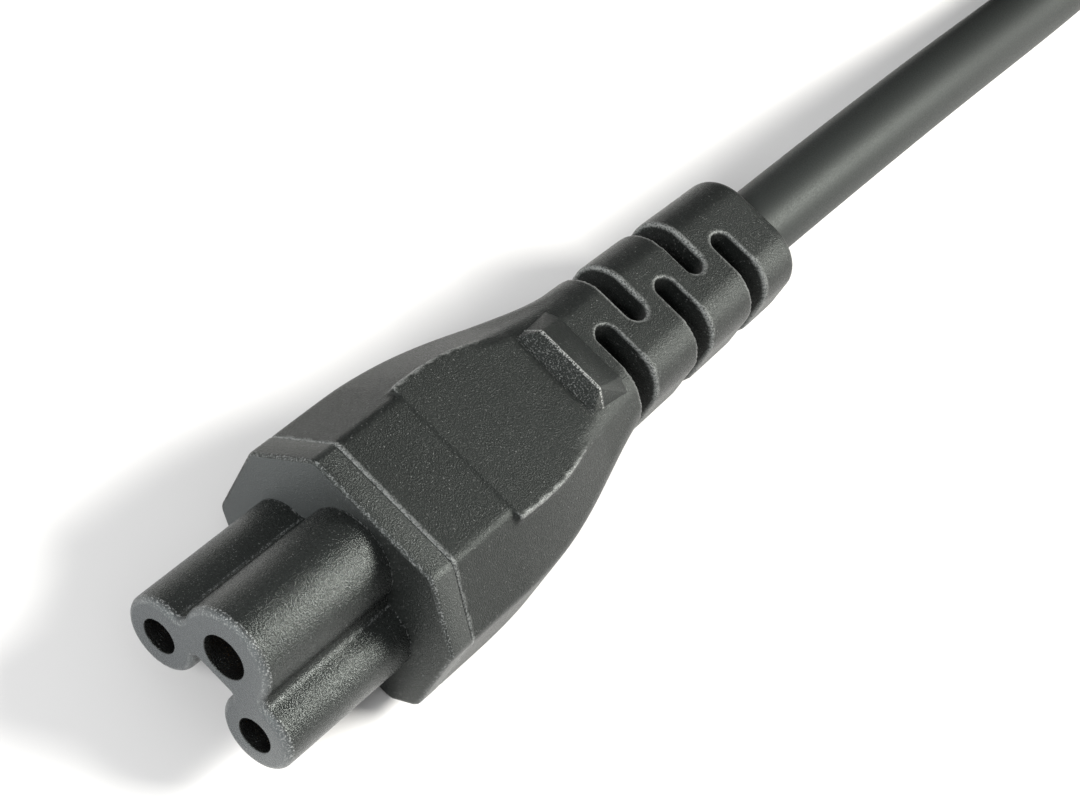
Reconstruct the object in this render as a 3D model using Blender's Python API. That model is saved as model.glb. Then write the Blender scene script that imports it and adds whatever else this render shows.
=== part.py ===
"""Cloverleaf power cord: a moulded three-pole appliance connector, its cord and the plug at its far end.

The connector lies on its flat underside with its nose towards -Y, and the cord leaves towards +Y.
Metres, +Z up. The origin is under the middle of the connector, on the surface that it lies on.
"""

import math

import bmesh
import bpy
from mathutils import Matrix, Vector

# Pins of the appliance inlet that the nose takes, and their places
PIN_SPACING = 0.0100
EARTH_RISE = 0.0047
POWER_PIN_DIAMETER = 0.0024
EARTH_PIN_DIAMETER = 0.0032
PIN_CLEARANCE = 0.0003
CONTACT_WALL = 0.0004
FIT_GAP = 0.0003

# Nose: three lobes round the pin holes
NOSE_LENGTH = 0.0137
SIDE_LOBE_RADIUS = 0.00325
EARTH_LOBE_RADIUS = 0.0041
EARTH_LOBE_DROP = 0.0002
LOBE_FILLET = 0.0010
WEB_RISE = 0.0016
NOSE_EDGE = 0.0006
FACE_WALL = 0.0022

# Section of the flange and of the front of the body
PIN_LINE_HEIGHT = 0.0061
BODY_WIDTH = 0.0218
BODY_HEIGHT = 0.0157
TOP_WIDTH = 0.0124
SHOULDER_DROP = 0.0054
LOWER_CORNER = 0.0020
CORNER_RADIUS = 0.0010
FLANGE_THICKNESS = 0.0021
FLANGE_EDGE = 0.0004

# Body: its length behind the seam, its waist and its tail
BODY_LENGTH = 0.0492
OGEE_START = 0.0020
OGEE_LENGTH = 0.0280
OGEE_BIAS = 1.4
CREASE_PLACE = 0.0073
CREASE_STEP = 0.0009
CREASE_RUN = 0.0005
WAIST_WIDTH = 0.0128
TAIL_WIDTH = 0.0116
WAIST_TOP = 0.0143
WAIST_BOTTOM = 0.0034
TOP_FLAT = 0.0060
TOP_FALL = 0.0200
UNDERSIDE_FLAT = 0.0150
TAIL_DROP = 0.0005
TAIL_CORNER = 0.0021
TAIL_CORNER_RADIUS = 0.0032
TAIL_ROUNDING = 0.0016

# Strain relief: slots cut in turn from the right and from the left
SLOT_COUNT = 5
SLOT_PITCH = 0.0042
SLOT_WIDTH = 0.0023
SLOT_PAST_MIDDLE = 0.0009
LAST_SLOT_FROM_END = 0.0052
CORE_DIAMETER = 0.0052

# Thumb grip across the top
GRIP_PLACE = 0.0205
GRIP_FOOT_WIDTH = 0.0088
GRIP_TOP_WIDTH = 0.0065
GRIP_HEIGHT = 0.0014
GRIP_RUN = 0.0012
GRIP_BACK = 0.0040
GRIP_SINK = 0.0010

# Cord, and the coil of the length that lies past the view
CORD_DIAMETER = 0.0068
CORD_HEIGHT = 0.0090
COIL_MIDDLE_DIAMETER = 0.0703
COIL_COLUMNS = 2
COIL_ROWS = 4
COIL_START = 0.1260
COIL_CORNER = 0.0030
TAIL_ROW = 2

# Plug at the far end
PLUG_LENGTH = 0.0340
PLUG_WIDTH = 0.0260
PLUG_HEIGHT = 0.0220
PLUG_SHOULDER = 0.0160
PLUG_BACK_WIDTH = 0.0180
PLUG_BACK_HEIGHT = 0.0160
PLUG_NECK = 0.0020
PLUG_TAIL_LENGTH = 0.0240
PLUG_TAIL_DIAMETER = 0.0120
PLUG_TAIL_END = 0.0092
PLUG_CORNER = 0.0030
PLUG_EDGE = 0.0006
PLUG_PLACE = 0.0100
PLUG_X = -0.0720
BLADE_SPACING = 0.0127
BLADE_LENGTH = 0.0180
BLADE_HEIGHT = 0.0063
BLADE_THICKNESS = 0.0015
EARTH_PIN_DROP = 0.0119
EARTH_PIN_LENGTH = 0.0210
EARTH_PIN_WIDTH = 0.0048
BLADE_SEAT = 0.0040

RING_SEGMENTS = 24
COIL_SEGMENTS = 40
LOBE_STEPS = 16
FILLET_STEPS = 4
ARC_STEPS = 4
BODY_RINGS = 30

CONNECTOR_LENGTH = NOSE_LENGTH + FLANGE_THICKNESS + FIT_GAP + BODY_LENGTH
NOSE_FACE = -CONNECTOR_LENGTH / 2
FLANGE_FRONT = NOSE_FACE + NOSE_LENGTH
FLANGE_BACK = FLANGE_FRONT + FLANGE_THICKNESS
BODY_FRONT = FLANGE_BACK + FIT_GAP
BODY_END = BODY_FRONT + BODY_LENGTH
CORD_RADIUS = CORD_DIAMETER / 2
COIL_WIDTH = COIL_COLUMNS * CORD_DIAMETER
COIL_HEIGHT = COIL_ROWS * CORD_DIAMETER
COIL_OUTER = COIL_MIDDLE_DIAMETER / 2 + COIL_WIDTH / 2
OUTER_TURN = COIL_OUTER - CORD_RADIUS
COIL_CENTRE = Vector((-OUTER_TURN, COIL_START, 0))
# A cord that joins the outer turn reaches the coil's solid this far before the coil's middle
COIL_REACH = math.sqrt(COIL_OUTER ** 2 - (COIL_OUTER - CORD_DIAMETER) ** 2)

# Each pole: name, sideways place, height above the floor, pin diameter
POLES = (
    ("line", -PIN_SPACING / 2, PIN_LINE_HEIGHT, POWER_PIN_DIAMETER),
    ("neutral", PIN_SPACING / 2, PIN_LINE_HEIGHT, POWER_PIN_DIAMETER),
    ("earth", 0.0, PIN_LINE_HEIGHT + EARTH_RISE, EARTH_PIN_DIAMETER),
)


def clear_scene():
    for obj in list(bpy.data.objects):
        bpy.data.objects.remove(obj, do_unlink=True)


def material(name, colour, roughness, metallic=0.0):
    made = bpy.data.materials.new(name)
    made.use_nodes = True
    shader = made.node_tree.nodes["Principled BSDF"]
    shader.inputs["Base Color"].default_value = (*colour, 1.0)
    shader.inputs["Roughness"].default_value = roughness
    shader.inputs["Metallic"].default_value = metallic
    return made


def add_object(name, bm, surface=None):
    """Turns a bmesh into an object, with its faces turned outwards and its round sides shaded smooth."""
    bmesh.ops.recalc_face_normals(bm, faces=bm.faces)
    mesh = bpy.data.meshes.new(name)
    bm.to_mesh(mesh)
    bm.free()
    mesh.shade_smooth()
    mesh.set_sharp_from_angle(angle=math.radians(35))
    obj = bpy.data.objects.new(name, mesh)
    bpy.context.scene.collection.objects.link(obj)
    if surface:
        mesh.materials.append(surface)
    else:
        obj.hide_render = True
        obj.display_type = "WIRE"
    return obj


def cut(obj, tool, operation="DIFFERENCE"):
    modifier = obj.modifiers.new(tool.name, "BOOLEAN")
    modifier.operation = operation
    modifier.solver = "EXACT"
    modifier.object = tool


def smooth_step(value):
    value = min(max(value, 0.0), 1.0)
    return value * value * (3 - 2 * value)


def mix(start, end, share):
    return start + (end - start) * share


def rounded_outline(corners, radius, steps=ARC_STEPS):
    """A closed outline of (across, up) points through the corners, each one rounded by an arc."""
    outline = []
    count = len(corners)
    for index in range(count):
        here = Vector(corners[index])
        before = (Vector(corners[index - 1]) - here).normalized()
        after = (Vector(corners[(index + 1) % count]) - here).normalized()
        half = before.angle(after) / 2
        centre = here + (before + after).normalized() * radius / math.sin(half)
        spoke = here + before * radius / math.tan(half) - centre
        turn = (math.pi - 2 * half) * math.copysign(1.0, after.cross(before))
        for step in range(steps + 1):
            outline.append(centre + Matrix.Rotation(turn * step / steps, 2) @ spoke)
    return outline


def loft(rings):
    """A closed bmesh through rings of the same number of points, with a flat face at each end."""
    bm = bmesh.new()
    rows = [[bm.verts.new(point) for point in ring] for ring in rings]
    for row, following in zip(rows, rows[1:]):
        for index in range(len(row)):
            beside = index - 1
            bm.faces.new((row[beside], row[index], following[index], following[beside]))
    bm.faces.new(rows[0])
    bm.faces.new(list(reversed(rows[-1])))
    return bm


def ring_at(outline, y):
    return [Vector((point[0], y, point[1])) for point in outline]


def body_section(place, shrink=0.0):
    """The section of the connector at a distance behind the front of the body, as a rounded outline."""
    ogee_end = OGEE_START + OGEE_LENGTH
    share = smooth_step((max(place - OGEE_START, 0.0) / OGEE_LENGTH) ** OGEE_BIAS)
    falling = smooth_step((place - TOP_FLAT) / TOP_FALL)
    rising = smooth_step((place - UNDERSIDE_FLAT) / (ogee_end - UNDERSIDE_FLAT))
    tail = max(place - ogee_end, 0.0) / (BODY_LENGTH - ogee_end)
    half_width = mix(BODY_WIDTH, WAIST_WIDTH, share) / 2 - (WAIST_WIDTH - TAIL_WIDTH) / 2 * tail
    top = mix(BODY_HEIGHT, WAIST_TOP, falling) - TAIL_DROP * tail
    bottom = mix(0.0, WAIST_BOTTOM, rising) + TAIL_DROP * tail
    drop = mix(SHOULDER_DROP, TAIL_CORNER, share)
    lower = mix(LOWER_CORNER, TAIL_CORNER, share)
    front_inset = (BODY_WIDTH - TOP_WIDTH) / 2
    behind_crease = place > CREASE_PLACE
    along = max(place - CREASE_PLACE, 0.0) / (ogee_end - CREASE_PLACE)
    inset = mix(front_inset - CREASE_STEP * behind_crease, TAIL_CORNER, min(along, 1.0))
    half_width -= shrink
    top -= shrink
    bottom += shrink
    corners = (
        (half_width - lower, bottom),
        (half_width, bottom + lower),
        (half_width, top - drop),
        (half_width - inset, top),
        (inset - half_width, top),
        (-half_width, top - drop),
        (-half_width, bottom + lower),
        (lower - half_width, bottom),
    )
    return rounded_outline(corners, mix(CORNER_RADIUS, TAIL_CORNER_RADIUS, share))


def tail_end_rings():
    """Rings that round the end of the strain relief over."""
    rings = []
    for step in range(ARC_STEPS + 1):
        angle = math.pi / 2 * step / ARC_STEPS
        place = BODY_LENGTH - TAIL_ROUNDING * (1 - math.sin(angle))
        rings.append(ring_at(body_section(place, TAIL_ROUNDING * (1 - math.cos(angle))), BODY_FRONT + place))
    return rings


def arc_points(centre, start, end, steps, turn=1):
    """Points on an arc round a centre, without its start. It runs clockwise if turn is -1."""
    spoke = start - centre
    reach = end - centre
    first = math.atan2(spoke.y, spoke.x)
    swing = turn * ((turn * (math.atan2(reach.y, reach.x) - first)) % math.tau)
    angles = [first + swing * step / steps for step in range(1, steps + 1)]
    return [centre + Vector((math.cos(angle), math.sin(angle))) * spoke.length for angle in angles]


def nose_outline():
    """The outline of the three lobes, of the fillets between them and of the web under the middle one."""
    side = Vector((PIN_SPACING / 2, 0.0))
    earth = Vector((0.0, EARTH_RISE - EARTH_LOBE_DROP))
    apart = (side - earth).length
    direction = (side - earth) / apart
    from_side = SIDE_LOBE_RADIUS + LOBE_FILLET
    from_earth = EARTH_LOBE_RADIUS + LOBE_FILLET
    along = (apart ** 2 + from_earth ** 2 - from_side ** 2) / (2 * apart)
    off = Vector((-direction.y, direction.x)) * math.sqrt(from_earth ** 2 - along ** 2)
    fillet = earth + direction * along + off
    on_side = side + (fillet - side).normalized() * SIDE_LOBE_RADIUS
    on_earth = earth + (fillet - earth).normalized() * EARTH_LOBE_RADIUS
    web_end = Vector((PIN_SPACING / 2 - math.sqrt(SIDE_LOBE_RADIUS ** 2 - WEB_RISE ** 2), WEB_RISE))
    crown = earth + Vector((0.0, EARTH_LOBE_RADIUS))
    right = [web_end] + arc_points(side, web_end, on_side, LOBE_STEPS)
    right += arc_points(fillet, on_side, on_earth, FILLET_STEPS, -1)
    right += arc_points(earth, on_earth, crown, LOBE_STEPS // 2)
    left = [Vector((-point.x, point.y)) for point in reversed(right[:-1])]
    return [Vector((point.x, point.y + PIN_LINE_HEIGHT)) for point in right + left]


def round_front(bm, y, width, segments):
    """Rounds the edges of the flat face that lies at this place along Y."""
    front = [edge for edge in bm.edges if all(abs(vert.co.y - y) < FIT_GAP / 10 for vert in edge.verts)]
    bmesh.ops.bevel(bm, geom=front, offset=width, segments=segments, profile=0.5, affect="EDGES", material=-1)
    return bm


def cylinder(diameter, y_start, y_end, x, z, segments=RING_SEGMENTS):
    """A bmesh cylinder along Y."""
    bm = bmesh.new()
    turn = Matrix.Translation((x, (y_start + y_end) / 2, z)) @ Matrix.Rotation(math.pi / 2, 4, "X")
    bmesh.ops.create_cone(bm, cap_ends=True, segments=segments, radius1=diameter / 2, radius2=diameter / 2,
                          depth=y_end - y_start, matrix=turn)
    return bm


def hole_diameter(pin):
    return pin + 2 * PIN_CLEARANCE


def chamber_diameter(pin):
    return pin + 2 * (CONTACT_WALL + FIT_GAP)


def build_nose_insert(surface):
    """The contact carrier: the nose with its three lobes, and the flange that the body is moulded against."""
    section = body_section(0.0)
    flange = loft([ring_at(section, FLANGE_FRONT), ring_at(section, FLANGE_BACK)])
    insert = add_object("nose_insert", round_front(flange, FLANGE_FRONT, FLANGE_EDGE, 1), surface)
    lobes = loft([ring_at(nose_outline(), NOSE_FACE), ring_at(nose_outline(), FLANGE_BACK - FLANGE_EDGE)])
    cut(insert, add_object("nose_lobes", round_front(lobes, NOSE_FACE, NOSE_EDGE, 3)), "UNION")
    for name, x, z, pin in POLES:
        entry = cylinder(hole_diameter(pin), NOSE_FACE - FIT_GAP, NOSE_FACE + FACE_WALL + FIT_GAP, x, z)
        chamber = cylinder(chamber_diameter(pin), NOSE_FACE + FACE_WALL, FLANGE_BACK + FIT_GAP, x, z)
        cut(insert, add_object(name + "_entry", entry))
        cut(insert, add_object(name + "_chamber", chamber))
    return insert


def build_contact(name, x, z, pin, surface):
    """A sleeve that a pin slides into, set in its chamber behind the face wall."""
    start = NOSE_FACE + FACE_WALL + FIT_GAP
    sleeve = add_object(name + "_contact", cylinder(pin + 2 * CONTACT_WALL, start, FLANGE_BACK, x, z), surface)
    bore = cylinder(pin, start - FIT_GAP, FLANGE_BACK + FIT_GAP, x, z)
    cut(sleeve, add_object(name + "_bore", bore))


def slot_cutters():
    """The slots as upright bars with one round end, on alternate sides."""
    bm = bmesh.new()
    radius = SLOT_WIDTH / 2
    for index in range(SLOT_COUNT):
        side = 1 if index % 2 == 0 else -1
        place = BODY_END - LAST_SLOT_FROM_END - SLOT_PITCH * (SLOT_COUNT - 1 - index)
        inner = radius - SLOT_PAST_MIDDLE
        outline = [Vector((BODY_WIDTH, -radius)), Vector((BODY_WIDTH, radius))]
        for step in range(2 * ARC_STEPS + 1):
            angle = math.pi / 2 + math.pi * step / (2 * ARC_STEPS)
            outline.append(Vector((inner + radius * math.cos(angle), radius * math.sin(angle))))
        face = bm.faces.new([bm.verts.new((side * point.x, place + point.y, -FIT_GAP)) for point in outline])
        grown = bmesh.ops.extrude_face_region(bm, geom=[face])
        top = [item for item in grown["geom"] if isinstance(item, bmesh.types.BMVert)]
        bmesh.ops.translate(bm, verts=top, vec=(0, 0, BODY_HEIGHT + 2 * FIT_GAP))
    return add_object("relief_slots", bm)


def build_grip():
    """The wedge across the top that a thumb pushes on: steep towards the nose, easy behind."""
    level = body_top(GRIP_PLACE)
    foot = BODY_FRONT + GRIP_PLACE
    crest = foot + GRIP_RUN
    back = crest + GRIP_BACK
    bm = bmesh.new()
    for side in (-1, 1):
        for across, along, up in (
            (GRIP_FOOT_WIDTH, foot - GRIP_SINK, level - GRIP_SINK),
            (GRIP_TOP_WIDTH, crest, level + GRIP_HEIGHT),
            (GRIP_TOP_WIDTH, back, level - GRIP_SINK),
            (GRIP_FOOT_WIDTH + GRIP_SINK, back, level - 2 * GRIP_SINK),
            (GRIP_FOOT_WIDTH + GRIP_SINK, foot - GRIP_SINK, level - 2 * GRIP_SINK),
        ):
            bm.verts.new((side * across / 2, along, up))
    bmesh.ops.convex_hull(bm, input=bm.verts)
    return add_object("thumb_grip", bm)


def body_top(place):
    return max(point[1] for point in body_section(place))


def build_body(surface):
    """The overmould: front panels, ogee sides, thumb grip and slotted strain relief in one moulding."""
    even = [BODY_LENGTH * step / BODY_RINGS for step in range(BODY_RINGS)]
    crease = [CREASE_PLACE - CREASE_RUN / 2, CREASE_PLACE + CREASE_RUN / 2]
    last = BODY_LENGTH - TAIL_ROUNDING - CREASE_RUN
    places = [place for place in even if place < last and abs(place - CREASE_PLACE) > CREASE_RUN]
    places = sorted(places + crease)
    rings = [ring_at(body_section(place), BODY_FRONT + place) for place in places] + tail_end_rings()
    body = add_object("body", loft(rings), surface)
    cut(body, build_grip(), "UNION")
    core = cylinder(CORE_DIAMETER, BODY_FRONT, BODY_END + FIT_GAP, 0.0, CORD_HEIGHT)
    slots = slot_cutters()
    cut(slots, add_object("relief_core", core))
    cut(body, slots)
    return body


def smooth_route(points, spacing):
    """Points along a smooth curve through the route's own points, about one spacing apart."""
    route = [Vector(point) for point in points]
    ends = [2 * route[0] - route[1]] + route + [2 * route[-1] - route[-2]]
    curve = []
    for before, start, end, after in zip(ends, ends[1:], ends[2:], ends[3:]):
        steps = max(1, round((end - start).length / spacing))
        for step in range(steps):
            share = step / steps
            curve.append(0.5 * (
                2 * start
                + (end - before) * share
                + (2 * before - 5 * start + 4 * end - after) * share ** 2
                + (3 * start - before - 3 * end + after) * share ** 3
            ))
    curve.append(route[-1])
    return curve


def build_tube(name, points, diameter, surface):
    data = bpy.data.curves.new(name, "CURVE")
    data.dimensions = "3D"
    data.bevel_depth = diameter / 2
    data.bevel_resolution = 3
    data.use_fill_caps = True
    spline = data.splines.new("POLY")
    spline.points.add(len(points) - 1)
    for target, point in zip(spline.points, points):
        target.co = (*point, 1.0)
    data.materials.append(surface)
    obj = bpy.data.objects.new(name, data)
    bpy.context.scene.collection.objects.link(obj)
    return obj


def build_cord(surface):
    """The run from the strain relief to the coil, the coil, and the run from the coil to the plug."""
    run = (
        (0.0, BODY_END + FIT_GAP, CORD_HEIGHT),
        (0.0, 0.0450, 0.0087),
        (0.0, 0.0580, 0.0080),
        (0.0, 0.0700, 0.0070),
        (0.0, 0.0810, 0.0056),
        (0.0, 0.0910, 0.0043),
        (0.0, 0.0980, 0.0037),
        (0.0, COIL_START - COIL_REACH - FIT_GAP, 0.0035),
    )
    build_tube("cord", smooth_route(run, 2 * CORD_DIAMETER), CORD_DIAMETER, surface)
    bm = bmesh.new()
    inner = COIL_MIDDLE_DIAMETER / 2 - COIL_WIDTH / 2
    outline = rounded_outline(
        ((inner, 0.0), (inner + COIL_WIDTH, 0.0), (inner + COIL_WIDTH, COIL_HEIGHT), (inner, COIL_HEIGHT)),
        COIL_CORNER, 3,
    )
    loop = [bm.verts.new((point[0], 0.0, point[1])) for point in outline]
    edges = [bm.edges.new((loop[index - 1], loop[index])) for index in range(len(loop))]
    bmesh.ops.spin(bm, geom=loop + edges, cent=(0, 0, 0), axis=(0, 0, 1), angle=math.tau, steps=COIL_SEGMENTS,
                   use_merge=True)
    coil = add_object("cord_coil", bm, surface)
    coil.location = COIL_CENTRE


def plug_ring(y, width, height, corner=PLUG_CORNER):
    """A rounded rectangle round the plug's axis."""
    centre = Vector((PLUG_X, PLUG_HEIGHT / 2))
    corners = [centre + Vector((width * x, height * z)) / 2 for x, z in ((1, -1), (1, 1), (-1, 1), (-1, -1))]
    return ring_at(rounded_outline(corners, corner), y)


def box(width, y_start, y_end, height, x, z):
    """A bmesh box along Y, centred across and up."""
    bm = bmesh.new()
    bmesh.ops.create_cube(bm, size=1.0)
    bmesh.ops.scale(bm, vec=(width, y_end - y_start, height), verts=bm.verts)
    bmesh.ops.translate(bm, vec=(x, (y_start + y_end) / 2, z), verts=bm.verts)
    return bm


def build_plug(surface, metal):
    """A plain straight moulded plug with two flat blades and a round earth pin, lying on the floor."""
    body_back = PLUG_PLACE + PLUG_LENGTH
    neck_corner = PLUG_TAIL_DIAMETER / 2 - FIT_GAP
    end_corner = PLUG_TAIL_END / 2 - FIT_GAP
    rings = [
        plug_ring(PLUG_PLACE, PLUG_WIDTH - 2 * PLUG_EDGE, PLUG_HEIGHT - 2 * PLUG_EDGE),
        plug_ring(PLUG_PLACE + PLUG_EDGE, PLUG_WIDTH, PLUG_HEIGHT),
        plug_ring(PLUG_PLACE + PLUG_SHOULDER, PLUG_WIDTH, PLUG_HEIGHT),
        plug_ring(body_back, PLUG_BACK_WIDTH, PLUG_BACK_HEIGHT),
        plug_ring(body_back + PLUG_NECK, PLUG_TAIL_DIAMETER, PLUG_TAIL_DIAMETER, neck_corner),
        plug_ring(body_back + PLUG_TAIL_LENGTH, PLUG_TAIL_END, PLUG_TAIL_END, end_corner),
    ]
    plug = add_object("plug_body", loft(rings), surface)
    seat_end = PLUG_PLACE + BLADE_SEAT + FIT_GAP
    blade_z = (PLUG_HEIGHT + EARTH_PIN_DROP) / 2 - FIT_GAP
    for name, side in (("plug_line_blade", -1), ("plug_neutral_blade", 1)):
        x = PLUG_X + side * BLADE_SPACING / 2
        wide, tall = BLADE_THICKNESS + 2 * FIT_GAP, BLADE_HEIGHT + 2 * FIT_GAP
        cut(plug, add_object(name + "_seat", box(wide, PLUG_PLACE - FIT_GAP, seat_end, tall, x, blade_z)))
        blade = box(BLADE_THICKNESS, PLUG_PLACE - BLADE_LENGTH, seat_end - FIT_GAP, BLADE_HEIGHT, x, blade_z)
        add_object(name, blade, metal)
    pin_z = (PLUG_HEIGHT - EARTH_PIN_DROP) / 2
    seat = cylinder(EARTH_PIN_WIDTH + 2 * FIT_GAP, PLUG_PLACE - FIT_GAP, seat_end, PLUG_X, pin_z)
    cut(plug, add_object("plug_earth_seat", seat))
    pin = cylinder(EARTH_PIN_WIDTH, PLUG_PLACE - EARTH_PIN_LENGTH, seat_end - FIT_GAP, PLUG_X, pin_z)
    add_object("plug_earth_pin", pin, metal)


def build_cord_tail(surface):
    """The last stretch, from the coil's outer side to the plug."""
    plug_end = PLUG_PLACE + PLUG_LENGTH + PLUG_TAIL_LENGTH + FIT_GAP
    route = (
        (2 * COIL_CENTRE.x, COIL_START - COIL_REACH - FIT_GAP, CORD_DIAMETER * (TAIL_ROW - 0.5)),
        (-0.0768, 0.0960, 0.0100),
        (-0.0752, 0.0875, 0.0100),
        (-0.0731, 0.0790, 0.0106),
        (-0.0721, 0.0740, 0.0109),
        (PLUG_X, plug_end, PLUG_HEIGHT / 2),
    )
    build_tube("cord_tail", smooth_route(route, CORD_DIAMETER), CORD_DIAMETER, surface)


def main():
    clear_scene()
    moulding = material("body_pvc", (0.050, 0.054, 0.053), 0.45)
    carrier = material("nose_pvc", (0.075, 0.080, 0.084), 0.55)
    jacket = material("cord_pvc", (0.045, 0.048, 0.048), 0.35)
    spring = material("contact_metal", (0.72, 0.62, 0.42), 0.30, 1.0)
    blades = material("blade_metal", (0.78, 0.76, 0.70), 0.22, 1.0)
    build_nose_insert(carrier)
    for name, x, z, pin in POLES:
        build_contact(name, x, z, pin, spring)
    build_body(moulding)
    build_cord(jacket)
    build_plug(moulding, blades)
    build_cord_tail(jacket)


main()
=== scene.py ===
# %% [markdown]
# A cloverleaf power cord: the moulded connector that goes into an appliance, its cord and the plug at
# the far end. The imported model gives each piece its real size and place. This script loads it as a
# fixed frame, and then makes the surfaces that a camera sees.

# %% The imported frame
import math

import bmesh
import bpy
import numpy as np
from mathutils import Matrix, Vector


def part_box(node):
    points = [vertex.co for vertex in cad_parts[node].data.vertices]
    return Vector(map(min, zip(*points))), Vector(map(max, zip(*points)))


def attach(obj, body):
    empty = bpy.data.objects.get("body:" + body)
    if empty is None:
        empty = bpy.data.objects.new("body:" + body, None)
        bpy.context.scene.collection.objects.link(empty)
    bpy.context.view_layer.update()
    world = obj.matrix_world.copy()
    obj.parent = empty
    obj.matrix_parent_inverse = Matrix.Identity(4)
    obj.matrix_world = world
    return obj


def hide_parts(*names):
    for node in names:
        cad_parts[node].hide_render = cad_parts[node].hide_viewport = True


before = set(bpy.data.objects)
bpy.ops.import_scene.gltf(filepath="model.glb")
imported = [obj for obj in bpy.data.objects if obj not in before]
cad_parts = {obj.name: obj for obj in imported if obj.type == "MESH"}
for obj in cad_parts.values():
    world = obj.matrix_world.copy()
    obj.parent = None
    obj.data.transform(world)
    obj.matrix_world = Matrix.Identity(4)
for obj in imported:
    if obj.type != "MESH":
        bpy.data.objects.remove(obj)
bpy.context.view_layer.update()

MM = 0.001


def corners_of(node):
    low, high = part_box(node)
    return Vector(low), Vector(high)


print("nodes:", ", ".join(sorted(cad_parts)))

# %% [markdown]
# The camera comes first, because the cord may only be coiled where it doesn't see. The photograph was
# taken from above the nose with a long lens. Its turn is given by the directions of its right, upper
# and back sides, which become the columns of a matrix.

# %% Camera
CAMERA_PLACE = Vector((24.64, -111.65, 155.74)) * MM
CAMERA_RIGHT = Vector((0.7054, 0.6077, 0.3648))
CAMERA_UP = Vector((-0.6968, 0.5004, 0.5138))
LENS = 78.0
SENSOR_WIDTH = 36.0
CLIP_START = 0.01


def add_camera():
    data = bpy.data.cameras.new("camera")
    data.sensor_fit = "HORIZONTAL"
    data.sensor_width = SENSOR_WIDTH
    data.lens = LENS
    data.clip_start = CLIP_START
    camera = bpy.data.objects.new("camera", data)
    bpy.context.scene.collection.objects.link(camera)
    right = CAMERA_RIGHT.normalized()
    back = right.cross(CAMERA_UP).normalized()
    turn = Matrix((right, back.cross(right), back)).transposed()
    camera.matrix_world = Matrix.Translation(CAMERA_PLACE) @ turn.to_4x4()
    bpy.context.scene.camera = camera
    return camera


camera = add_camera()
print("camera at", [round(value / MM, 1) for value in camera.location], "mm")

# %% [markdown]
# A material is a tree of shader nodes. Two small classes keep it readable. Socket lets shader maths be
# written as a Python expression, and Finish makes a material and adds any node that it needs.

# %% Shader helpers
EDGE_MARK = "edge_wear_and_highlight"


class Socket:
    """An output of a node. Adding, multiplying and so on adds the Math node that does it."""

    def __init__(self, finish, output):
        self.finish = finish
        self.output = output

    def maths(self, operation, first, second):
        return self.finish.node("ShaderNodeMath", {"operation": operation}, {0: first, 1: second})

    def __add__(self, other):
        return self.maths("ADD", self, other)

    __radd__ = __add__

    def __sub__(self, other):
        return self.maths("SUBTRACT", self, other)

    def __mul__(self, other):
        return self.maths("MULTIPLY", self, other)

    def __lt__(self, other):
        return self.maths("LESS_THAN", self, other)

    def __gt__(self, other):
        return self.maths("GREATER_THAN", self, other)


class Finish:
    """A material with one Principled shader, and ways to add nodes to it."""

    def __init__(self, name, **constants):
        self.material = bpy.data.materials.new(name)
        self.material.use_nodes = True
        self.tree = self.material.node_tree
        self.shader = self.tree.nodes["Principled BSDF"]
        for key, value in constants.items():
            self.shader.inputs[key.replace("_", " ")].default_value = value

    def node(self, kind, settings, values, output=0):
        """Adds a node, sets its settings first, then the values or links of its sockets."""
        made = self.tree.nodes.new(kind)
        for key, value in settings.items():
            setattr(made, key, value)
        for key, value in values.items():
            self.put(made.inputs[key], value)
        return Socket(self, made.outputs[output])

    def put(self, target, value):
        if isinstance(value, Socket):
            self.tree.links.new(value.output, target)
        else:
            target.default_value = value

    def feed(self, key, value):
        """Gives the Principled shader a link or a value."""
        self.put(self.shader.inputs[key], value)

    def fed(self, key):
        """What the Principled shader is already linked to."""
        return Socket(self, self.shader.inputs[key].links[0].from_socket)

    def absolute(self, value):
        return self.node("ShaderNodeMath", {"operation": "ABSOLUTE"}, {0: value})

    def place(self):
        """The point on the piece, in metres."""
        return self.node("ShaderNodeTexCoord", {}, {}, "Object")

    def axes(self, place):
        """The three numbers of a point."""
        parts = self.node("ShaderNodeSeparateXYZ", {}, {0: place})
        return [Socket(self, output) for output in parts.output.node.outputs]

    def edges(self):
        """1 on the outer edges of a piece that has had mark_edges, and 0 elsewhere."""
        return self.node("ShaderNodeAttribute", {"attribute_name": EDGE_MARK}, {}, "Fac")

    def noise(self, place, size, detail=2.0, roughness=0.5):
        """Noise whose blobs are about as wide as size, in metres."""
        values = {"Vector": place, "Scale": 1 / size, "Detail": detail, "Roughness": roughness}
        return self.node("ShaderNodeTexNoise", {}, values)

    def step(self, value, start, end, low=0.0, high=1.0):
        """A smooth step from low to high as the value goes from start to end."""
        values = {"Value": value, "From Min": start, "From Max": end, "To Min": low, "To Max": high}
        return self.node("ShaderNodeMapRange", {"interpolation_type": "SMOOTHSTEP"}, values)

    def band(self, value, start, end, blur):
        """1 between start and end, 0 outside, with soft limits."""
        return self.step(value, start - blur, start) * self.step(value, end, end + blur, 1.0, 0.0)

    def near(self, value, origin, limits):
        """A band whose start, end and blur are given from an origin."""
        start, end, blur = limits
        return self.band(value, origin + start, origin + end, blur)

    def mix(self, share, first, second):
        """A colour between two colours."""
        return self.node("ShaderNodeMix", {"data_type": "RGBA"}, {0: share, 6: first, 7: second}, 2)

    def bump(self, height, distance, below=None):
        """A bumped normal, on top of another one if it is given."""
        values = {"Height": height, "Distance": distance}
        if below:
            values["Normal"] = below
        return self.node("ShaderNodeBump", {}, values)


def grey(value, green=1.0, blue=1.0):
    return (value, value * green, value * blue, 1.0)


print("shader helpers ready")
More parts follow.
